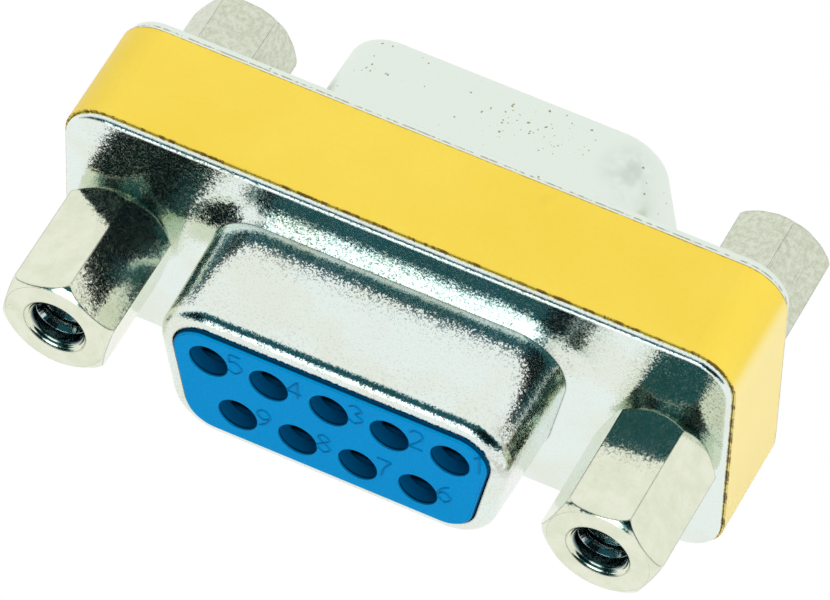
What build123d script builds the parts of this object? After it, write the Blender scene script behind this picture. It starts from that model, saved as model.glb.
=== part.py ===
"""A slim nine-way D-sub gender changer: two socket connectors back to back in two pressed shells.

X runs along the long flanges and Y through the connector, front face towards -Y. Z is up, and
the part stands on the long bottom edge of its label.
"""
import os
from math import atan2, cos, radians, sin, sqrt, tan

from build123d import *

# Contact layout, seen on the mating face with the wide row at the top
contact_pitch = 2.77
row_spacing = 2.84
wide_row = 5
narrow_row = 4

# Shells, each pressed from one sheet: a shallow tray with the D drawn out of its floor. The
# margins are measured from the contact layout to the D, and from the D out to the flange's edge.
sheet = 0.4
body_depth = 5.9
shell_side_margin = 1.24
shell_row_margin = 2.53
shell_corner_radius = 2.4
shell_side_lean = 10
shell_draft = 1.6
shell_reach = 5.6
lip_width = 0.32
screw_to_shell = 4.33
screw_to_edge = 2.78
flange_margin = 2.3
flange_corner_radius = 1.9
shell_hole_gap = 0.105

# Bends: the tray's pressed edge, the flange's sweep up to a crease on the D, and the inside
# radius at the mouth
tray_edge_radius = 0.2
root_run = 0.9
root_rise = 0.34
root_sweep_radius = 2.2
mouth_bend_radius = 0.2

# Insulators
insulator_gap = 0.08
lip_gap = 0.07
nose_proud = 0.2
nose_bevel = 0.1
pin_hole_radius = 0.9
front_wall = 0.8
insulator_hole_gap = 0.18
cavity_gap = 0.06
pocket_gap = 0.08
pocket_margin = 0.2

# Contacts: two leaves at each end of one strip, which crosses over from row to row
contact_thickness = 0.25
leaf_width = 1.5
leaf_length = 4.6
leaf_root_gap = 1.2
leaf_grip_gap = 0.9
leaf_mouth_gap = 1.24
leaf_flare_length = 0.7
leaf_recess = 0.3
strip_width = 0.8

# Hexagonal jack screws in front and nuts behind, turned down at both ends
screw_across_flats = 4.78
screw_hex_length = 6.19
screw_tip_chamfer = (0.43, 0.27)
screw_base_chamfer = (0.66, 0.75)
screw_tip_roll = 0.45
screw_turns = {"left": 18.8, "right": 4.8}
nut_across_flats = 4.3
nut_hex_length = 5.56
nut_tip_chamfer = (0.3, 0.27)
nut_base_chamfer = (0.5, 0.75)
nut_tip_roll = 0.4
nut_turns = {"left": 6, "right": -15.5}

# Their 4-40 thread, as plain cylinders
thread_major_radius = 1.42
thread_minor_radius = 1.17
countersink_depth = 0.29
screw_hole_depth = 5.0
drill_point_angle = 118
drill_flat_radius = 0.1
stud_reach = 2.0
stud_end_room = 0.3
stud_gap = 0.02

# Label strip wrapped round both trays, a little nearer the front, its ends meeting underneath
label_width = 5.0
label_forward = 0.1
label_thickness = 0.1
label_gap = 0.02
label_seam = 0.4

shell_width = wide_row * contact_pitch + 2 * shell_side_margin
shell_height = row_spacing + 2 * shell_row_margin
screw_spacing = shell_width + 2 * screw_to_shell
flange_length = screw_spacing + 2 * screw_to_edge
flange_height = shell_height + 2 * flange_margin
half_depth = body_depth / 2
mouth_inset = shell_reach * tan(radians(shell_draft))
nose_face = half_depth + shell_reach + nose_proud
front_reach = half_depth + screw_hex_length
rear_reach = max(half_depth + nut_hex_length, nose_face)
mid_height = flange_height / 2 + label_gap + label_thickness
centre = Vector(0, (front_reach - rear_reach) / 2, mid_height)

# Both connectors are drawn on planes that look out of their own mating face. The rear one is the
# front one rolled over about X, so its wide side is at the bottom.
front = Plane(origin=centre, x_dir=(1, 0, 0), z_dir=(0, -1, 0))
rear = Plane(origin=centre, x_dir=(1, 0, 0), z_dir=(0, 1, 0))
sides = {"front": front, "rear": rear}
screw_places = {"left": -screw_spacing / 2, "right": screw_spacing / 2}
screw_points = [(x, 0) for x in screw_places.values()]

wide_row_points = [
    (contact_pitch * ((wide_row - 1) / 2 - n), row_spacing / 2) for n in range(wide_row)
]
narrow_row_points = [
    (contact_pitch * ((narrow_row - 1) / 2 - n), -row_spacing / 2) for n in range(narrow_row)
]
contact_points = wide_row_points + narrow_row_points

# How far the swept flange leans at the crease
root_slope = atan2(root_rise, root_run)

# A chamfer of this share of a radius touches the middle of the radius's arc
chamfer_share = 2 - sqrt(2)

os.makedirs("parts", exist_ok=True)


def outward(plane):
    """The axis that a plane looks along."""
    return Axis(plane.origin, plane.z_dir)


def faces_outward(part, plane):
    """The faces of a part that look along a plane's axis, from the back to the front."""
    return part.faces().filter_by(outward(plane)).sort_by(outward(plane))


def d_outline(plane, inset):
    """The D on a plane, moved in from the shell's outer face, with its wide side at the top."""
    lean = radians(shell_side_lean)
    top = shell_height / 2 - inset
    corner_share = (1 + sin(lean)) / cos(lean)
    sharp_half_width = shell_width / 2 + shell_corner_radius * (corner_share - 1)
    wide = sharp_half_width - inset * corner_share
    narrow = wide - 2 * top * tan(lean)
    with BuildSketch(plane) as outline:
        with BuildLine():
            Polyline((wide, top), (-wide, top), (-narrow, -top), (narrow, -top), close=True)
        make_face()
        fillet(outline.vertices(), shell_corner_radius - inset)
    return outline.sketch


def tray_outline(plane, inset):
    """The flange on a plane, moved in from the tray's outer wall."""
    length = flange_length - 2 * inset
    height = flange_height - 2 * inset
    with BuildSketch(plane) as outline:
        RectangleRounded(length, height, flange_corner_radius - inset)
    return outline.sketch


def circles(plane, points, radius):
    """Circles of one radius at points on a plane."""
    with BuildSketch(plane) as outline:
        with Locations(*points):
            Circle(radius)
    return outline.sketch


def pressed_form(side, inset, soften, share):
    """The solid inside one face of the pressed sheet, with each bend softened by a share of its
    radius. Inset 0 is the sheet's outer face."""
    floor = half_depth - inset
    with BuildPart() as form:
        extrude(tray_outline(side, inset), amount=floor)
        tray_floor = faces_outward(form, side)[-1]
        soften(tray_floor.edges(), share * tray_edge_radius)
        extrude(d_outline(side.offset(floor), inset), amount=shell_reach, taper=shell_draft)
        tray_floor = faces_outward(form, side)[-2]
        root = tray_floor.inner_wires()[0].edges()
        run = root_run + inset * (1 - tan(root_slope / 2))
        rise = root_rise + inset * (1 + tan(root_slope) - 1 / cos(root_slope))
        chamfer(root, run, rise, reference=tray_floor)
        mouth = faces_outward(form, side)[-1]
        soften(mouth.edges(), share * (mouth_bend_radius + sheet - inset))
    return form.part


def hex_bar(seat, x, turn, across_flats, length, tip_chamfer, tip_roll, base_chamfer):
    """A hexagonal bar on a plane, turned down at both ends by chamfers of a width and a length,
    with the tip's chamfer rolled over onto the corners."""
    corner_radius = across_flats / 2 / cos(radians(30))
    with BuildPart() as bar:
        extrude(circles(seat, [(x, 0)], corner_radius), amount=length)
        tip = faces_outward(bar, seat)[-1]
        chamfer(tip.edges(), *tip_chamfer, reference=tip)
        rings = bar.edges().filter_by(GeomType.CIRCLE).sort_by(outward(seat))
        fillet(rings[1], tip_roll)
        base = faces_outward(bar, seat)[0]
        chamfer(base.edges(), *base_chamfer, reference=base)
        with BuildSketch(seat):
            with Locations((x, 0)):
                RegularPolygon(across_flats / 2, 6, major_radius=False, rotation=turn)
        extrude(amount=length, mode=Mode.INTERSECT)
    return bar.part


def contact_half(side, x, v):
    """One end of a contact: two leaves on a web, and the strip to the middle of the body."""
    row = centre + Vector(x, 0, 0) + side.y_dir * v
    profile = Plane(origin=row, x_dir=side.z_dir, z_dir=(-1, 0, 0))
    mouth = nose_face - front_wall - leaf_recess
    grip = mouth - leaf_flare_length
    web_back = mouth - leaf_length
    web = web_back + contact_thickness
    with BuildPart() as half:
        with BuildSketch(profile):
            with BuildLine():
                Polyline(
                    (web, 0),
                    (web, leaf_root_gap / 2),
                    (grip, leaf_grip_gap / 2),
                    (mouth, leaf_mouth_gap / 2),
                    (mouth, leaf_mouth_gap / 2 + contact_thickness),
                    (grip, leaf_grip_gap / 2 + contact_thickness),
                    (web, leaf_root_gap / 2 + contact_thickness),
                    (web_back, leaf_root_gap / 2 + contact_thickness),
                    (web_back, 0),
                    close=True,
                )
            make_face()
            mirror(about=Plane.XZ)
        extrude(amount=leaf_width / 2, both=True)
        with BuildSketch(profile):
            with Locations((web_back / 2, 0)):
                Rectangle(web_back, contact_thickness)
            with Locations((0, -v / 2)):
                Rectangle(contact_thickness, abs(v) + contact_thickness)
        extrude(amount=strip_width / 2, both=True)
    return half.part


# Shells
lip_inset = mouth_inset + sheet + lip_width
shell_hole_radius = thread_major_radius + shell_hole_gap
for name, side in sides.items():
    with BuildPart() as shell:
        add(pressed_form(side, 0, fillet, 1))
        tray_floor = faces_outward(shell, side)[-2]
        fillet(tray_floor.inner_wires()[0].edges(), root_sweep_radius)
        add(pressed_form(side, sheet, chamfer, chamfer_share), mode=Mode.SUBTRACT)
        lip_hole = d_outline(side.offset(half_depth), lip_inset)
        extrude(lip_hole, amount=shell_reach, mode=Mode.SUBTRACT)
        screw_holes = circles(side, screw_points, shell_hole_radius)
        extrude(screw_holes, amount=half_depth, mode=Mode.SUBTRACT)
    shell.part.label = f"{name}_shell"
    export_step(shell.part, f"parts/{name}_shell.step")

# Insulators: a flange that fills the tray, a block inside the D and a nose through its lip
block_inset = sheet + insulator_gap
block_top = half_depth + shell_reach - sheet - mouth_bend_radius
cavity_width = leaf_width + 2 * cavity_gap
cavity_height = max(leaf_root_gap, leaf_mouth_gap) + 2 * (contact_thickness + cavity_gap)
pocket_width = (wide_row - 1) * contact_pitch + cavity_width + 2 * pocket_margin
pocket_height = row_spacing + cavity_height + 2 * pocket_margin
for name, side in sides.items():
    with BuildPart() as insulator:
        extrude(tray_outline(side, block_inset), amount=half_depth - block_inset)
        screw_holes = circles(side, screw_points, thread_major_radius + insulator_hole_gap)
        extrude(screw_holes, amount=half_depth, mode=Mode.SUBTRACT)
        block_root = side.offset(half_depth - block_inset)
        block_length = block_top - half_depth + block_inset
        extrude(d_outline(block_root, block_inset), amount=block_length, taper=shell_draft)
        extrude(d_outline(side, lip_inset + lip_gap), amount=nose_face)
        chamfer(faces_outward(insulator, side)[-1].edges(), nose_bevel)
        with BuildSketch(side):
            with Locations(*contact_points):
                Rectangle(cavity_width, cavity_height)
        extrude(amount=nose_face - front_wall, mode=Mode.SUBTRACT)
        pin_holes = circles(side.offset(nose_face), contact_points, pin_hole_radius)
        extrude(pin_holes, amount=-front_wall, mode=Mode.SUBTRACT)
        with BuildSketch(side):
            Rectangle(pocket_width, pocket_height)
        extrude(amount=contact_thickness / 2 + pocket_gap, mode=Mode.SUBTRACT)
    insulator.part.label = f"{name}_insulator"
    export_step(insulator.part, f"parts/{name}_insulator.step")

# Contacts
for number, (x, v) in enumerate(contact_points, start=1):
    with BuildPart() as contact:
        add(contact_half(front, x, v))
        add(contact_half(rear, x, v))
    contact.part.label = f"contact_{number}"
    export_step(contact.part, f"parts/contact_{number}.step")

# Jack screws: a hexagonal head with a blind threaded hole, and a stud through both flanges
screw_seat = front.offset(half_depth)
screw_mouth = screw_seat.offset(screw_hex_length)
drill_point_depth = (thread_minor_radius - drill_flat_radius) / tan(radians(drill_point_angle / 2))
for name, x in screw_places.items():
    screw_form = (
        screw_across_flats, screw_hex_length, screw_tip_chamfer, screw_tip_roll, screw_base_chamfer
    )
    with BuildPart() as jack_screw:
        add(hex_bar(screw_seat, x, screw_turns[name], *screw_form))
        stud = circles(screw_seat, [(x, 0)], thread_major_radius)
        extrude(stud, amount=-(body_depth + stud_reach))
        hole = circles(screw_mouth, [(x, 0)], thread_minor_radius)
        extrude(hole, amount=-screw_hole_depth, mode=Mode.SUBTRACT)
        drill_point = circles(
            screw_mouth.offset(-screw_hole_depth), [(x, 0)], thread_minor_radius
        )
        extrude(
            drill_point, amount=-drill_point_depth, taper=drill_point_angle / 2,
            mode=Mode.SUBTRACT,
        )
        tip = faces_outward(jack_screw, front)[-1]
        chamfer(tip.inner_wires()[0].edges(), countersink_depth)
    jack_screw.part.label = f"{name}_jack_screw"
    export_step(jack_screw.part, f"parts/{name}_jack_screw.step")

# Jack nuts: they hold the studs behind, and leave the rest of their thread open
nut_seat = rear.offset(half_depth)
for name, x in screw_places.items():
    nut_form = (nut_across_flats, nut_hex_length, nut_tip_chamfer, nut_tip_roll, nut_base_chamfer)
    with BuildPart() as jack_nut:
        add(hex_bar(nut_seat, x, nut_turns[name], *nut_form))
        hole = circles(nut_seat, [(x, 0)], thread_minor_radius)
        extrude(hole, amount=nut_hex_length, mode=Mode.SUBTRACT)
        stud_room = circles(nut_seat, [(x, 0)], thread_major_radius + stud_gap)
        extrude(stud_room, amount=stud_reach + stud_end_room, mode=Mode.SUBTRACT)
        tip = faces_outward(jack_nut, rear)[-1]
        chamfer(tip.inner_wires()[0].edges(), countersink_depth)
    jack_nut.part.label = f"{name}_jack_nut"
    export_step(jack_nut.part, f"parts/{name}_jack_nut.step")

# Label
label_middle = front.offset(label_forward)
with BuildPart() as label_band:
    outer = tray_outline(label_middle, -label_gap - label_thickness)
    extrude(outer, amount=label_width / 2, both=True)
    inner = tray_outline(label_middle, -label_gap)
    extrude(inner, amount=label_width / 2, both=True, mode=Mode.SUBTRACT)
    with BuildSketch(label_middle):
        with Locations((0, -flange_height / 2)):
            Rectangle(label_seam, flange_height / 2)
    extrude(amount=label_width / 2, both=True, mode=Mode.SUBTRACT)
label_band.part.label = "label_band"
export_step(label_band.part, "parts/label_band.step")
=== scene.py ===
"""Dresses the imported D-sub gender changer: a studio, the plated, moulded and printed finishes,
the threads in the hexagons and the moulded contact numbers. Metres, in the CAD's frame.
"""

from math import cos, pi, radians, tau

import bpy
import numpy as np
from mathutils import Matrix, Vector


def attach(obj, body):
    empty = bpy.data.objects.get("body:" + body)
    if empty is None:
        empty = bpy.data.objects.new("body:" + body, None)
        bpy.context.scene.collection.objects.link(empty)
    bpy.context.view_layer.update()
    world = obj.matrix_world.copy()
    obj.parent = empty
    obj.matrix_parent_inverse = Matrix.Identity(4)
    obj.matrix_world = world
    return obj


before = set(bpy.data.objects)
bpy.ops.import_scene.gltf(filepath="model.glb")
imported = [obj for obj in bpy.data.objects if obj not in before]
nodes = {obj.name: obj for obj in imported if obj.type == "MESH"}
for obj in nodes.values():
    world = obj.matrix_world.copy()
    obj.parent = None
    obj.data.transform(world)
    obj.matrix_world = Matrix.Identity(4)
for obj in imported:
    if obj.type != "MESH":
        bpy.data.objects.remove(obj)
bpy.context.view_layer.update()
scene = bpy.context.scene
scene.view_settings.view_transform = "Standard"

MM = 0.001

# The same sizes and places as in the CAD source, in millimetres
MIDDLE_Y = 0.195
MIDDLE_Z = 6.37
CONTACT_PITCH = 2.77
ROW_SPACING = 2.84
WIDE_ROW = 5
SCREW_X = 12.495
NOSE_FACE = 8.75
FRONT_WALL = 0.8
SCREW_REACH = 9.14
NUT_REACH = 8.51
LABEL_FORWARD = 0.1
LABEL_HALF_WIDTH = 2.5


# ---- camera

# Fitted to the photograph: its width and the focal length in pixels, then metres and degrees
PHOTO_WIDTH = 830
FOCAL_LENGTH = 8355.38
CAMERA_PLACE = (0.0885127, -0.1932952, 0.2821662)
CAMERA_SIGHT = (-0.2541174, 0.5535603, -0.7930923)
CAMERA_ROLL = 2.1814


def aim(place, sight, roll):
    """A camera or lamp's matrix: at place, looking along sight, turned about it by roll."""
    back = -Vector(sight).normalized()
    right = Vector((0, 0, 1)).cross(back).normalized()
    up = back.cross(right)
    turned = Matrix.Rotation(roll, 3, back)
    axes = Matrix((turned @ right, turned @ up, back)).transposed().to_4x4()
    return Matrix.Translation(place) @ axes


camera_data = bpy.data.cameras.new("photograph")
camera_data.sensor_width = 36
camera_data.lens = FOCAL_LENGTH / PHOTO_WIDTH * camera_data.sensor_width
camera_data.clip_start = 0.01
camera_data.clip_end = 20
camera = bpy.data.objects.new("photograph", camera_data)
camera.matrix_world = aim(CAMERA_PLACE, CAMERA_SIGHT, radians(CAMERA_ROLL))
scene.collection.objects.link(camera)
scene.camera = camera


# ---- node helpers

class Wiring:
    """Adds nodes to one tree and joins them. An input takes a node, a socket, a number or a colour.
    It is named with _ for each space in its name, or with _ and its index."""

    def __init__(self, tree):
        self.tree = tree
        tree.nodes.clear()

    def add(self, kind, settings=None, **inputs):
        node = self.tree.nodes.new(kind)
        for name, value in (settings or {}).items():
            setattr(node, name, value)
        for name, value in inputs.items():
            self.put(node, int(name[1:]) if name[0] == "_" else name.replace("_", " "), value)
        return node

    def put(self, node, name, value):
        if isinstance(value, bpy.types.Node):
            value = value.outputs[0]
        if isinstance(value, bpy.types.NodeSocket):
            self.tree.links.new(value, node.inputs[name])
        else:
            node.inputs[name].default_value = value

    def math(self, operation, a, b=0.0):
        return self.add("ShaderNodeMath", {"operation": operation}, _0=a, _1=b)

    def times(self, a, b):
        return self.math("MULTIPLY", a, b)

    def vector(self, operation, **inputs):
        return self.add("ShaderNodeVectorMath", {"operation": operation}, **inputs)

    def split(self, place):
        """The three coordinates of a place."""
        return self.add("ShaderNodeSeparateXYZ", _0=place).outputs

    def ramp(self, value, low, high):
        """0 at low, 1 at high and eased between them, where low may be the greater."""
        return self.add("ShaderNodeMapRange", {"interpolation_type": "SMOOTHSTEP"},
                        Value=value, From_Min=low, From_Max=high)

    def mix(self, share, a, b):
        node = self.add("ShaderNodeMix", {"data_type": "RGBA"})
        self.put(node, 0, share)
        self.put(node, 6, a)
        self.put(node, 7, b)
        return node.outputs[2]

    def tint(self, tone, mask, strength, over):
        """A tone with another over it where the mask is, at a strength."""
        return self.mix(self.times(mask, strength), tone, over)

    def noise(self, place, scale, detail=2.0, roughness=0.5):
        return self.add("ShaderNodeTexNoise", Vector=place, Scale=scale, Detail=detail,
                        Roughness=roughness)

    def place(self):
        return self.add("ShaderNodeTexCoord").outputs["Object"]

    def near(self, place, centre, reach):
        """1 at a centre in millimetres, eased to 0 at a reach from it."""
        away = self.vector("DISTANCE", _0=place, _1=[part * MM for part in centre])
        return self.ramp(away.outputs["Value"], reach * MM, 0.0)

    def rays(self, *kinds):
        """1 for rays of these kinds, 0 for all others."""
        path = self.add("ShaderNodeLightPath").outputs
        share = path[f"Is {kinds[0]} Ray"]
        for kind in kinds[1:]:
            share = self.math("MAXIMUM", share, path[f"Is {kind} Ray"])
        return share


def colour(red, green, blue):
    """A screen colour, 0 to 255, as the linear one that the nodes take."""
    share = np.array((red, green, blue)) / 255
    linear = np.where(share <= 0.04045, share / 12.92, ((share + 0.055) / 1.055) ** 2.4)
    return (*linear.tolist(), 1.0)


# ---- studio

# Parts of the room, as azimuths and elevations in degrees, and how softly they end. Azimuth 0 is
# where the front mating face looks, and it grows towards +X.
DARK_SIDE = ((-62, 86), (3, 70))
DARK_EASE = (8, 8)
WINDOW = ((-20, 9), (-40, 26))
WINDOW_GLOW = ((-30, 19), (-40, 36))
WINDOW_EASE = (5, 6)
FRINGE = 4

# Deeper shadows in the dark side: a direction, and the angles at which each is full and gone
DEEP_SHADOWS = (((0.60, -0.62, 0.50), 16, 32), ((-0.64, -0.64, 0.42), 9, 22))

WHITE = (1, 1, 1, 1)
GLOW_LIGHT = (2.1, 2.2, 2.3, 1)
ROOM_LIGHT = (0.5, 0.5, 0.5, 1)
FRINGE_TEAL = (0.19, 0.46, 0.49, 1)
DARK_TEAL = (0.012, 0.085, 0.11, 1)
DEEP_TEAL = (0.0008, 0.006, 0.008, 1)

# A name, a place and a size in metres, and a power in watts
LAMPS = (
    ("key_lamp", (-0.25, 0.20, 0.55), 0.35, 1.8),
    ("fill_lamp", (0.35, -0.45, 0.35), 0.40, 1.5),
    ("end_lamp", (0.60, -0.05, 0.12), 0.30, 1.0),
)

# The floor's half width, and how far under the part it lies
FLOOR_HALF = 3.0
FLOOR_GAP = 0.02 * MM


def light_studio():
    """A white room with a dark side above the front, a bright window in it, and three soft lamps.
    Only reflections show the dark side and the window."""
    world = bpy.data.worlds.new("studio")
    world.use_nodes = True
    scene.world = world
    w = Wiring(world.node_tree)
    direction = w.add("ShaderNodeTexCoord").outputs["Generated"]
    x, y, z = w.split(direction)
    azimuth = w.math("ARCTAN2", x, w.times(y, -1.0))
    elevation = w.math("ARCSINE", z)

    def span(value, low, high, ease):
        """1 between two angles in degrees, eased to 0 outside them."""
        into = w.ramp(value, radians(low - ease), radians(low))
        out = w.ramp(value, radians(high), radians(high + ease))
        return w.times(into, w.math("SUBTRACT", 1.0, out))

    def part(across, up, ease):
        """1 in a part of the room, eased to 0 round it."""
        return w.times(span(azimuth, *across, ease[0]), span(elevation, *up, ease[1]))

    def darkened(grow):
        """The dark side, grown by an angle, without the window."""
        (left, right), (low, high) = DARK_SIDE
        side = part((left - grow, right + grow), (low, high + grow), DARK_EASE)
        (left, right), up = WINDOW
        window = part((left + grow, right - grow), up, WINDOW_EASE)
        return w.times(side, w.math("SUBTRACT", 1.0, window))

    def lobe(towards, full, gone):
        """1 within an angle of a direction, eased to 0 at a wider one."""
        share = w.vector("DOT_PRODUCT", _0=direction, _1=Vector(towards).normalized())
        return w.ramp(share.outputs["Value"], cos(radians(gone)), cos(radians(full)))

    deep = w.math("MAXIMUM", *(lobe(*shadow) for shadow in DEEP_SHADOWS))
    shade = w.mix(deep, DARK_TEAL, DEEP_TEAL)
    bright = w.mix(part(*WINDOW_GLOW, WINDOW_EASE), WHITE, GLOW_LIGHT)
    fringe = w.mix(darkened(FRINGE), bright, FRINGE_TEAL)
    seen = w.mix(darkened(0), fringe, shade)
    reflected = w.mix(w.rays("Glossy"), ROOM_LIGHT, seen)
    shown = w.mix(w.rays("Camera", "Transmission"), reflected, WHITE)
    back = w.add("ShaderNodeBackground", Color=shown, Strength=1.0)
    w.put(w.add("ShaderNodeOutputWorld"), "Surface", back)

    for name, place, size, power in LAMPS:
        lamp = bpy.data.lights.new(name, "AREA")
        lamp.size = size
        lamp.energy = power
        lamp_object = bpy.data.objects.new(name, lamp)
        lamp_object.matrix_world = aim(place, -Vector(place), 0)
        lamp_object.visible_glossy = False
        scene.collection.objects.link(lamp_object)


def lay_floor():
    """A pale sheet just under the part, white to the camera and in reflections."""
    mesh = bpy.data.meshes.new("floor")
    signs = ((-1, -1), (1, -1), (1, 1), (-1, 1))
    corners = [(x * FLOOR_HALF, y * FLOOR_HALF, -FLOOR_GAP) for x, y in signs]
    mesh.from_pydata(corners, [], [(0, 1, 2, 3)])
    floor = bpy.data.objects.new("floor", mesh)
    scene.collection.objects.link(floor)
    material = bpy.data.materials.new("pale_floor")
    material.use_nodes = True
    w = Wiring(material.node_tree)
    plain = w.rays("Camera", "Transmission", "Glossy")
    paper = w.add("ShaderNodeBsdfDiffuse", Color=(0.8, 0.8, 0.8, 1))
    white = w.add("ShaderNodeEmission", Color=WHITE, Strength=1.0)
    shown = w.add("ShaderNodeMixShader", _0=plain, _1=paper, _2=white)
    w.put(w.add("ShaderNodeOutputMaterial"), "Surface", shown)
    mesh.materials.append(material)


light_studio()
lay_floor()


# ---- shared effects

def effect(name, inputs, outputs):
    """A node group: its tree, its wiring, its inputs and its exit. Place and Tilt are vectors."""
    tree = bpy.data.node_groups.new(name, "ShaderNodeTree")
    for way, titles in (("INPUT", inputs), ("OUTPUT", outputs)):
        for title in titles:
            kind = "NodeSocketVector" if title in ("Place", "Tilt") else "NodeSocketFloat"
            tree.interface.new_socket(title, in_out=way, socket_type=kind)
    w = Wiring(tree)
    return tree, w, w.add("NodeGroupInput").outputs, w.add("NodeGroupOutput")


def make_crystals():
    """Fine crystals of plated metal: each Voronoi cell leans its own small way, and a broader noise
    leans them together, as a tilt to add to the normal. Some cells are frosted, as a mask."""
    tree, w, given, out = effect("crystals", ("Place", "Scale", "Lean", "Waves"), ("Tilt", "Frost"))
    cells = w.add("ShaderNodeTexVoronoi", Vector=given["Place"], Scale=given["Scale"])
    broad = w.noise(given["Place"], w.times(given["Scale"], 0.45), 2.0, 0.6)

    def centred(value, reach):
        """A value of 0 to 1 each way as one to both sides of 0, times a reach."""
        return w.vector("SCALE", _0=w.vector("SUBTRACT", _0=value, _1=(0.5, 0.5, 0.5)), Scale=reach)

    tilt = w.vector("ADD", _0=centred(cells.outputs["Color"], given["Lean"]),
                    _1=centred(broad.outputs["Color"], given["Waves"]))
    w.put(out, "Tilt", tilt)
    chance = w.add("ShaderNodeSeparateColor", _0=cells.outputs["Color"])
    w.put(out, "Frost", w.math("POWER", chance.outputs[1], 3.0))
    return tree


def make_scratches():
    """Thin marks that run one way: ridges of a noise stretched along Y, broken up by a second."""
    tree, w, given, out = effect("scratches", ("Place", "Scale", "Share"), ("Marks",))
    drawn = w.add("ShaderNodeMapping", Vector=given["Place"], Rotation=(0.3, 0.0, 0.5),
                  Scale=(1.0, 0.07, 1.0))
    lines = w.noise(drawn, given["Scale"], 2.0, 0.6)
    ridge = w.math("ABSOLUTE", w.math("SUBTRACT", lines, 0.5))
    thin = w.ramp(ridge, 0.018, 0.004)
    breaks = w.noise(given["Place"], w.times(given["Scale"], 0.25), 1.0)
    limit = w.math("SUBTRACT", 0.75, w.times(given["Share"], 0.5))
    kept = w.ramp(w.math("SUBTRACT", breaks, limit), 0.0, 0.08)
    w.put(out, "Marks", w.times(thin, kept))
    return tree


def make_pits():
    """Small roundish marks: the middles of some Voronoi cells, chosen and sized by each cell's own
    random colour, with their outlines bent by a noise."""
    tree, w, given, out = effect("pits", ("Place", "Scale", "Share", "Size"), ("Marks",))
    warp = w.noise(given["Place"], 9000.0, 1.0).outputs["Color"]
    bent = w.vector("MULTIPLY_ADD", _0=warp, _1=[0.12 * MM] * 3, _2=given["Place"])
    cells = w.add("ShaderNodeTexVoronoi", Vector=bent, Scale=given["Scale"])
    chance = w.add("ShaderNodeSeparateColor", _0=cells.outputs["Color"])
    chosen = w.math("LESS_THAN", chance.outputs[0], given["Share"])
    size = w.times(given["Size"], w.math("ADD", 0.4, chance.outputs[1]))
    dot = w.math("LESS_THAN", cells.outputs["Distance"], size)
    w.put(out, "Marks", w.times(chosen, dot))
    return tree


crystals = make_crystals()
scratches = make_scratches()
pits = make_pits()


# ---- finishes

# Marks seen in the photograph: a centre and a reach in millimetres
MOUTH_STAIN = ((7.65, -7.4, 8.6), 1.7)
BROWN_PITS = (
    ((-5.5, 6.7, 10.3), 1.2),
    ((0.4, 6.6, 10.3), 1.5),
    ((2.2, 6.4, 10.3), 1.5),
    ((3.2, 7.1, 10.3), 1.5),
)
GREY_RUB = ((6.4, 6.8, 10.2), 1.9)
BLISTER = ((4.8, 1.75, 12.74), 0.5)

# Where other marks begin and are full, in millimetres: the front shell's grit and the rear shell's
# line along Y, the label's painted pale sheen on its end along X, and tool rings and painted shade
# out from a screw's axis
GRIT_FROM, GRIT_FULL = -4.0, -8.2
RIM_SEAM = 2.8
END_SHEEN_FROM, END_SHEEN_FULL = 15.1, 15.39
RING_SPACING = 0.13
RINGS_FROM, RINGS_FULL = 1.62, 1.35
BORE_FROM, BORE_FULL = 1.3, 1.19

# How far the rounded normal and the plain one agree where an edge's painted line of shade begins
# and is full
EDGE_SHADE_FROM, EDGE_SHADE_FULL = 0.965, 0.9


def finish(name):
    """A new material, its wiring and its Principled shader, joined to the output."""
    material = bpy.data.materials.new(name)
    material.use_nodes = True
    w = Wiring(material.node_tree)
    shader = w.add("ShaderNodeBsdfPrincipled")
    w.put(w.add("ShaderNodeOutputMaterial"), "Surface", shader.outputs[0])
    return material, w, shader


def use(w, tree, **inputs):
    """Puts an effect into a material with its own values, and gives its outputs."""
    return w.add("ShaderNodeGroup", {"node_tree": tree}, **inputs).outputs


def edges(w, reach):
    """A normal rounded within a reach of edges, in millimetres, and a mask for a painted dark line
    of
    shade along them: there the rounded normal and the plain one part."""
    rounded = w.add("ShaderNodeBevel", {"samples": 4}, Radius=reach * MM)
    plain = w.add("ShaderNodeNewGeometry").outputs["Normal"]
    same = w.vector("DOT_PRODUCT", _0=rounded, _1=plain).outputs["Value"]
    return rounded, w.ramp(same, EDGE_SHADE_FROM, EDGE_SHADE_FULL)


def from_screw(w, place):
    """How far a point lies from its screw's axis, in metres."""
    x, _, z = w.split(place)
    aside = w.math("SUBTRACT", w.math("ABSOLUTE", x), SCREW_X * MM)
    up = w.math("SUBTRACT", z, MIDDLE_Z * MM)
    return w.math("SQRT", w.math("ADD", w.times(aside, aside), w.times(up, up)))


def turned_rings(w, place):
    """Tool marks round a screw hole's mouth: waves of the distance from the screw's axis, faint
    over the rest of the piece."""
    radius = from_screw(w, place)
    waves = w.math("SINE", w.times(radius, tau / (RING_SPACING * MM)))
    beside = w.ramp(radius, RINGS_FROM * MM, RINGS_FULL * MM)
    return w.times(waves, w.math("ADD", 0.03, w.times(beside, 0.5)))


def plated(name, rough, frost, scale, lean, waves, edge, turned=False):
    """Plated metal: a roughness, how much frosted crystals add to it, the crystals' scale, lean and
    waves, how far its edges are rounded, and whether it was turned. It gives the material, the
    wiring, the shader, the place and a mask of the painted dark line of shade along each edge."""
    material, w, shader = finish(name)
    place = w.place()
    rounded, edge_shade = edges(w, edge)
    if turned:
        rounded = w.add("ShaderNodeBump", Strength=0.35, Distance=0.03 * MM,
                        Height=turned_rings(w, place), Normal=rounded)
    tilt, frosted = use(w, crystals, Place=place, Scale=scale, Lean=lean, Waves=waves)
    w.put(shader, "Normal", w.vector("NORMALIZE", _0=w.vector("ADD", _0=rounded, _1=tilt)))
    w.put(shader, "Metallic", 1.0)
    w.put(shader, "Roughness", w.math("ADD", rough, w.times(frosted, frost)))
    return material, w, shader, place, edge_shade


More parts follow.
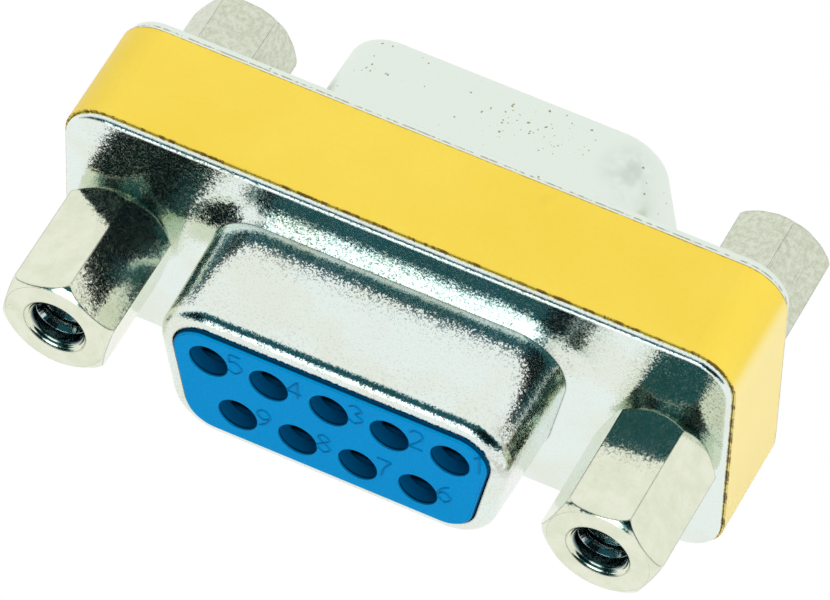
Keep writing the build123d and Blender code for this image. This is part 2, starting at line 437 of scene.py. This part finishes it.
def bright_tin():
    """The front shell: bright plate with a strong fine grain, a few brown specks, grit towards its
    mouth, a brown stain at one corner of it and a painted dark line of shade along its edges."""
    material, w, shader, place, edge_shade = plated(
        "bright_tin_plate", rough=0.09, frost=0.22, scale=16000, lean=0.12, waves=0.1, edge=0.11)
    specks = use(w, pits, Place=place, Scale=1500.0, Share=0.05, Size=0.06)[0]
    cloud = w.ramp(w.noise(place, 350), 0.4, 0.65)
    tone = w.mix(cloud, colour(230, 240, 235), colour(228, 234, 223))
    forward = w.ramp(w.split(place)[1], GRIT_FROM * MM, GRIT_FULL * MM)
    grit = w.times(w.ramp(w.noise(place, 9000, 3.0, 0.8), 0.5, 0.68), forward)
    tone = w.tint(tone, grit, 0.45, colour(176, 182, 158))
    tone = w.mix(specks, tone, colour(150, 120, 70))
    patchy = w.ramp(w.noise(place, 2500, 3.0, 0.7), 0.4, 0.6)
    stain = w.times(w.near(place, *MOUTH_STAIN), patchy)
    tone = w.tint(tone, stain, 0.9, colour(140, 116, 76))
    # A painted dark teal line of shade along the edges.
    w.put(shader, "Base Color", w.tint(tone, edge_shade, 0.85, colour(16, 40, 42)))
    return material


def dull_tin():
    """The rear shell: duller plate with brown pits in four places, a grey rub mark, a broken line
    along its rim and a painted line of shade along its edges."""
    material, w, shader, place, edge_shade = plated(
        "dull_tin_plate", rough=0.28, frost=0.1, scale=20000, lean=0.1, waves=0.08, edge=0.06)
    many = 0.0
    for spot in BROWN_PITS:
        many = w.math("MAXIMUM", many, w.near(place, *spot))
    share = w.math("ADD", 0.012, w.times(many, 0.22))
    marks = use(w, pits, Place=place, Scale=8000.0, Share=share, Size=0.34)[0]
    rub = w.times(w.near(place, *GREY_RUB), w.ramp(w.noise(place, 900, 2.0, 0.6), 0.3, 0.6))
    tone = w.tint(colour(229, 238, 228), rub, 0.75, colour(196, 205, 196))
    tone = w.tint(tone, marks, 0.85, colour(140, 130, 80))
    from_seam = w.math("ABSOLUTE", w.math("SUBTRACT", w.split(place)[1], RIM_SEAM * MM))
    broken = w.ramp(w.noise(place, 3500, 2.0, 0.7), 0.38, 0.55)
    seam = w.times(w.ramp(from_seam, 0.045 * MM, 0.015 * MM), broken)
    tone = w.tint(tone, seam, 0.7, colour(128, 124, 88))
    # A painted grey line of shade along the edges.
    w.put(shader, "Base Color", w.tint(tone, edge_shade, 0.75, colour(110, 122, 104)))
    return material


def bright_nickel():
    """The jack screws: bright, warm plate, nearly smooth, with hairline scratches, a painted dark
    line of shade along their edges and painted shade down the bore."""
    material, w, shader, place, edge_shade = plated(
        "nickel_plate", rough=0.06, frost=0.18, scale=18000, lean=0.02, waves=0.1, edge=0.1,
        turned=True)
    marks = use(w, scratches, Place=place, Scale=2600.0, Share=0.12)[0]
    cloud = w.ramp(w.noise(place, 1100, 3.0, 0.6), 0.35, 0.7)
    tone = w.mix(cloud, colour(230, 234, 214), colour(221, 226, 203))
    tone = w.tint(tone, marks, 0.35, colour(180, 178, 150))
    # A painted dark line of shade along the edges.
    tone = w.tint(tone, edge_shade, 0.8, colour(30, 34, 26))
    # Painted shade down the bore: dark teal nearer the screw's axis than its mouth.
    bore = w.ramp(from_screw(w, place), BORE_FROM * MM, BORE_FULL * MM)
    w.put(shader, "Base Color", w.mix(bore, tone, colour(74, 98, 102)))
    return material


def scuffed_nickel():
    """The jack nuts: dull, blotched plate with scratches and a painted dark line of shade along
    their edges.
    """
    material, w, shader, place, edge_shade = plated(
        "scuffed_nickel_plate", rough=0.3, frost=0.1, scale=9000, lean=0.06, waves=0.1, edge=0.06,
        turned=True)
    marks = use(w, scratches, Place=place, Scale=3000.0, Share=0.35)[0]
    blotches = w.ramp(w.noise(place, 3600, 4.0, 0.8), 0.35, 0.65)
    tone = w.mix(blotches, colour(222, 227, 210), colour(198, 204, 182))
    tone = w.tint(tone, marks, 0.4, colour(150, 150, 120))
    # A painted dark line of shade along the edges.
    w.put(shader, "Base Color", w.tint(tone, edge_shade, 0.9, colour(80, 80, 56)))
    return material


def threaded():
    """The threads' plate, its colour darker and bluer than the screws' as painted shade of the
    holes.
    """
    material, w, shader, _, _ = plated(
        "thread_nickel", rough=0.1, frost=0.1, scale=9000, lean=0.02, waves=0.05, edge=0.03)
    w.put(shader, "Base Color", colour(196, 210, 208))
    return material


def moulded(name, face, face_low):
    """Blue moulded plastic: satin, finely stippled, with a painted dark line of shade along its
    outline and edges, painted shade darkening it down its holes and painted black shade behind its
    front wall."""
    material, w, shader = finish(name)
    place = w.place()
    grain = w.noise(place, 11000, 2.0, 0.6)
    _, edge_shade = edges(w, 0.06)
    tone = w.mix(w.ramp(grain, 0.3, 0.7), face_low, face)
    out = w.math("ABSOLUTE", w.math("SUBTRACT", w.split(place)[1], MIDDLE_Y * MM))
    depth = w.math("SUBTRACT", NOSE_FACE * MM, out)
    # Painted shade down the holes and the sides: a dark band just under the face, then a darker
    # blue deeper in.
    tone = w.mix(w.ramp(depth, 0.03 * MM, 0.1 * MM), tone, colour(0, 52, 80))
    tone = w.mix(w.ramp(depth, 0.13 * MM, 0.2 * MM), tone, colour(0, 94, 146))
    # A painted dark line of shade along the outline and edges.
    tone = w.tint(tone, edge_shade, 0.75, colour(0, 58, 88))
    # Painted black shade behind the front wall.
    behind = w.ramp(depth, FRONT_WALL * 1.2 * MM, FRONT_WALL * 1.45 * MM)
    w.put(shader, "Base Color", w.mix(behind, tone, colour(0, 9, 13)))
    w.put(shader, "Roughness", 0.5)
    w.put(shader, "Specular IOR Level", 0.06)
    w.put(shader, "Specular Tint", (0.1, 0.6, 1.0, 1.0))
    w.put(shader, "Normal", w.add("ShaderNodeBump", Strength=0.3, Distance=0.01 * MM, Height=grain))
    return material


def vinyl():
    """Yellow self-adhesive strip: satin, with a nicked brown line of painted shadow along its
    edges, a painted pale sheen on its end and a small blister."""
    material, w, shader = finish("yellow_vinyl")
    place = w.place()
    along, across, _ = w.split(place)
    middle = (MIDDLE_Y - LABEL_FORWARD) * MM
    from_middle = w.math("ABSOLUTE", w.math("SUBTRACT", across, middle))
    from_edge = w.math("SUBTRACT", LABEL_HALF_WIDTH * MM, from_middle)
    # A nicked brown line of painted shadow along both edges, wider at the far edge.
    nicks = w.times(w.math("SUBTRACT", 0.58, w.noise(place, 2200, 2.0, 0.75)), 0.12 * MM)
    far = w.math("GREATER_THAN", across, middle)
    wide = w.math("ADD", 0.015 * MM, w.times(far, 0.06 * MM))
    edge = w.ramp(w.math("ADD", from_edge, nicks), wide, 0.0)
    broad = w.noise(place, 200, 3.0)
    fibre = w.noise(place, 5000, 2.0, 0.6)
    tone = w.mix(w.ramp(broad, 0.3, 0.7), colour(241, 214, 82), colour(238, 208, 72))
    tone = w.tint(tone, w.ramp(fibre, 0.4, 0.75), 0.35, colour(238, 204, 66))
    # A painted pale sheen over the label's end at +X.
    end_sheen = w.ramp(along, END_SHEEN_FROM * MM, END_SHEEN_FULL * MM)
    tone = w.tint(tone, end_sheen, 0.5, colour(248, 238, 180))
    # The brown line along the edges is painted shadow.
    w.put(shader, "Base Color", w.tint(tone, edge, 0.8, colour(112, 78, 38)))
    w.put(shader, "Roughness", 0.4)
    w.put(shader, "Specular IOR Level", 0.3)
    height = w.math("ADD", w.near(place, *BLISTER), w.times(fibre, 0.06))
    w.put(shader, "Normal", w.add("ShaderNodeBump", Strength=0.6, Distance=0.1 * MM, Height=height))
    return material


def bronze():
    """Bronze contact strip, its tone darkened as painted shade for the dark behind the holes."""
    material, w, shader = finish("bronze_strip")
    grain = w.noise(w.place(), 3000, 2.0, 0.6)
    w.put(shader, "Base Color", w.mix(grain, colour(120, 92, 48), colour(150, 120, 70)))
    w.put(shader, "Metallic", 1.0)
    w.put(shader, "Roughness", 0.4)
    return material


def dress(material, *names):
    """Puts a material on the own slots of CAD nodes."""
    for name in names:
        for place in nodes[name].material_slots:
            place.material = material


dress(bright_tin(), "front_shell")
dress(dull_tin(), "rear_shell")
dress(bright_nickel(), "left_jack_screw", "right_jack_screw")
dress(scuffed_nickel(), "left_jack_nut", "right_jack_nut")
dress(moulded("blue_moulding", colour(0, 155, 222), colour(0, 142, 212)),
      "front_insulator", "rear_insulator")
dress(vinyl(), "label_band")
dress(bronze(), *(f"contact_{number}" for number in range(1, 10)))
# The numbers' darker blue is painted shade on their raised strokes.
number_shade_blue = moulded("blue_numbers", colour(0, 132, 194), colour(0, 122, 182))
thread_nickel = threaded()


# ---- pieces that the CAD leaves plain

# The threads in the screw holes, in millimetres: their pitch, the radii of their root and crest,
# the ridge's section along the bore, how deep they start and end, and their steps in a turn
THREAD_PITCH = 0.635
THREAD_ROOT = 1.168
THREAD_CREST = 1.03
THREAD_SECTION = np.array((-0.26, -0.05, 0.05, 0.26))
THREAD_START = 0.5
SCREW_THREAD_END = 4.7
NUT_THREAD_END = 2.95
THREAD_STEPS = 40

# The numbers, in millimetres: where each stands beside its contact, its height, and the bead that
# draws it, by its radius, sides, flatness, taper and least share, and its steps along a stroke
NUMBER_ASIDE = (0.86, -0.1)
NUMBER_HEIGHT = 1.15
BEAD_RADIUS = 0.055
BEAD_SIDES = 8
BEAD_FLATNESS = 0.8
BEAD_TAPER = 12
BEAD_END = 0.35
STROKE_STEPS = 24

# Each number's strokes, as points of a smooth line in a box 0.6 wide and 1 high
NUMBER_STROKES = {
    1: [[(0.2, 0.78), (0.42, 1.0)], [(0.42, 1.0), (0.42, 0.0)]],
    2: [[(0.05, 0.75), (0.22, 0.98), (0.5, 0.95), (0.56, 0.68), (0.36, 0.36), (0.03, 0.0)],
        [(0.03, 0.0), (0.6, 0.0)]],
    3: [[(0.05, 0.85), (0.3, 1.0), (0.56, 0.78), (0.28, 0.54)],
        [(0.28, 0.54), (0.6, 0.3), (0.3, 0.0), (0.03, 0.15)]],
    4: [[(0.42, 1.0), (0.0, 0.32)], [(0.0, 0.32), (0.6, 0.32)], [(0.42, 1.0), (0.42, 0.0)]],
    5: [[(0.55, 1.0), (0.1, 1.0)], [(0.1, 1.0), (0.06, 0.56)],
        [(0.06, 0.56), (0.35, 0.64), (0.6, 0.34), (0.34, 0.0), (0.03, 0.12)]],
    6: [[(0.5, 0.97), (0.2, 0.72), (0.04, 0.3), (0.3, 0.0), (0.57, 0.28), (0.32, 0.56),
         (0.06, 0.36)]],
    7: [[(0.0, 1.0), (0.6, 1.0)], [(0.6, 1.0), (0.32, 0.5), (0.2, 0.0)]],
    8: [[(0.3, 0.54), (0.07, 0.77), (0.3, 1.0), (0.53, 0.77), (0.3, 0.54), (0.03, 0.27),
         (0.3, 0.0), (0.57, 0.27), (0.3, 0.54)]],
    9: [[(0.1, 0.03), (0.4, 0.28), (0.56, 0.7), (0.3, 1.0), (0.03, 0.72), (0.28, 0.44),
         (0.54, 0.64)]],
}


def closed_piece(name, rings, smooth, material):
    """A mesh from rings of points, shape (sweeps, steps, section, 3): quads join ring to ring in
    each sweep, and its first and last rings are capped. Faces are turned to point outwards, and
    are shaded smooth or flat."""
    sweeps, steps, section, _ = rings.shape
    index = np.arange(sweeps * steps * section).reshape(sweeps, steps, section)
    beside = np.roll(index, -1, axis=2)
    quads = np.stack((index[:, :-1], index[:, 1:], beside[:, 1:], beside[:, :-1]), axis=-1)
    quads = quads.reshape(-1, 4)
    caps = np.concatenate((index[:, 0], index[:, -1, ::-1]))
    points = rings.reshape(-1, 3)
    a, b, c, d = (points[quads[:, n]] for n in range(4))
    volume = np.einsum("ij,ij->", a, np.cross(b, c)) + np.einsum("ij,ij->", a, np.cross(c, d))
    faces = quads.tolist() + caps.tolist()
    if volume < 0:
        faces = [face[::-1] for face in faces]
    mesh = bpy.data.meshes.new(name)
    mesh.from_pydata((points * MM).tolist(), [], faces)
    mesh.polygons.foreach_set("use_smooth", np.full(len(faces), smooth))
    mesh.materials.append(material)
    piece = bpy.data.objects.new(name, mesh)
    scene.collection.objects.link(piece)
    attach(piece, "root")


def cut_thread(name, x, mouth, inward, end):
    """A ridge wound down a bore: at angle t its section stands at radius r and at a depth of
    start + pitch * t / tau. The section is a flat-topped triangle, and its top rises from the
    bore's wall over the first quarter turn and sinks back over the last."""
    turns = (end - THREAD_START) / THREAD_PITCH
    t = np.linspace(0, turns * tau, int(turns * THREAD_STEPS))[:, None]
    risen = np.clip(np.minimum(t, t[-1] - t) / (pi / 2), 0.02, 1)
    root = np.full_like(t, THREAD_ROOT)
    top = THREAD_ROOT - (THREAD_ROOT - THREAD_CREST) * risen
    radius = np.concatenate((root, top, top, root), axis=1)
    depth = THREAD_START + THREAD_PITCH * t / tau + THREAD_SECTION * risen
    rings = np.stack((x + radius * np.cos(t), mouth + inward * depth,
                      MIDDLE_Z + radius * np.sin(t)), axis=-1)
    closed_piece(name, rings[None], False, thread_nickel)


def smooth_line(knots):
    """A Catmull-Rom line through the knots, at evenly spaced values of its parameter."""
    knots = np.array(knots)
    padded = np.concatenate((2 * knots[:1] - knots[1:2], knots, 2 * knots[-1:] - knots[-2:-1]))
    t = np.linspace(0, len(knots) - 1, STROKE_STEPS)
    first = np.minimum(t.astype(int), len(knots) - 2)
    t = (t - first)[:, None]
    p0, p1, p2, p3 = (padded[first + n] for n in range(4))
    return 0.5 * (2 * p1 + (p2 - p0) * t + (2 * p0 - 5 * p1 + 4 * p2 - p3) * t ** 2
                  + (3 * p1 - p0 - 3 * p2 + p3) * t ** 3)


def contact_place(number):
    """A contact's place on its mating face, across and up from the middle: 3 is the middle of the
    upper row, and the lower row's middle lies between 7 and 8."""
    if number <= WIDE_ROW:
        return np.array((CONTACT_PITCH * (3 - number), ROW_SPACING / 2))
    return np.array((CONTACT_PITCH * (7.5 - number), -ROW_SPACING / 2))


def mould_numbers(name, outward):
    """The nine numbers on one mating face: each stroke is a half-sunk bead, a round section
    carried along its line, with its ends drawn in. The rear face is the front one rolled over."""
    lines = np.array([
        contact_place(number) + NUMBER_ASIDE + smooth_line(stroke) * NUMBER_HEIGHT
        for number, strokes in NUMBER_STROKES.items() for stroke in strokes
    ])
    run = np.gradient(lines, axis=1)
    run /= np.linalg.norm(run, axis=2, keepdims=True)
    aside = np.stack((-run[..., 1], run[..., 0]), axis=-1)
    along = np.linspace(0, 1, STROKE_STEPS)
    full = np.clip(np.minimum(along, 1 - along) * BEAD_TAPER + BEAD_END, 0, 1)
    radius = BEAD_RADIUS * full[:, None]
    turn = np.linspace(0, tau, BEAD_SIDES, endpoint=False)
    across = (radius * np.cos(turn))[None, ..., None] * aside[:, :, None, :]
    flat = lines[:, :, None, :] + across
    out = NOSE_FACE + np.broadcast_to(radius * np.sin(turn) * BEAD_FLATNESS, flat.shape[:3])
    rings = np.stack((flat[..., 0], MIDDLE_Y + outward * out, MIDDLE_Z - outward * flat[..., 1]),
                     axis=-1)
    closed_piece(name, rings, True, number_shade_blue)


for hand, x in (("left", -SCREW_X), ("right", SCREW_X)):
    cut_thread(f"{hand}_screw_thread", x, MIDDLE_Y - SCREW_REACH, 1, SCREW_THREAD_END)
    cut_thread(f"{hand}_nut_thread", x, MIDDLE_Y + NUT_REACH, -1, NUT_THREAD_END)
mould_numbers("front_numbers", -1)
mould_numbers("rear_numbers", 1)
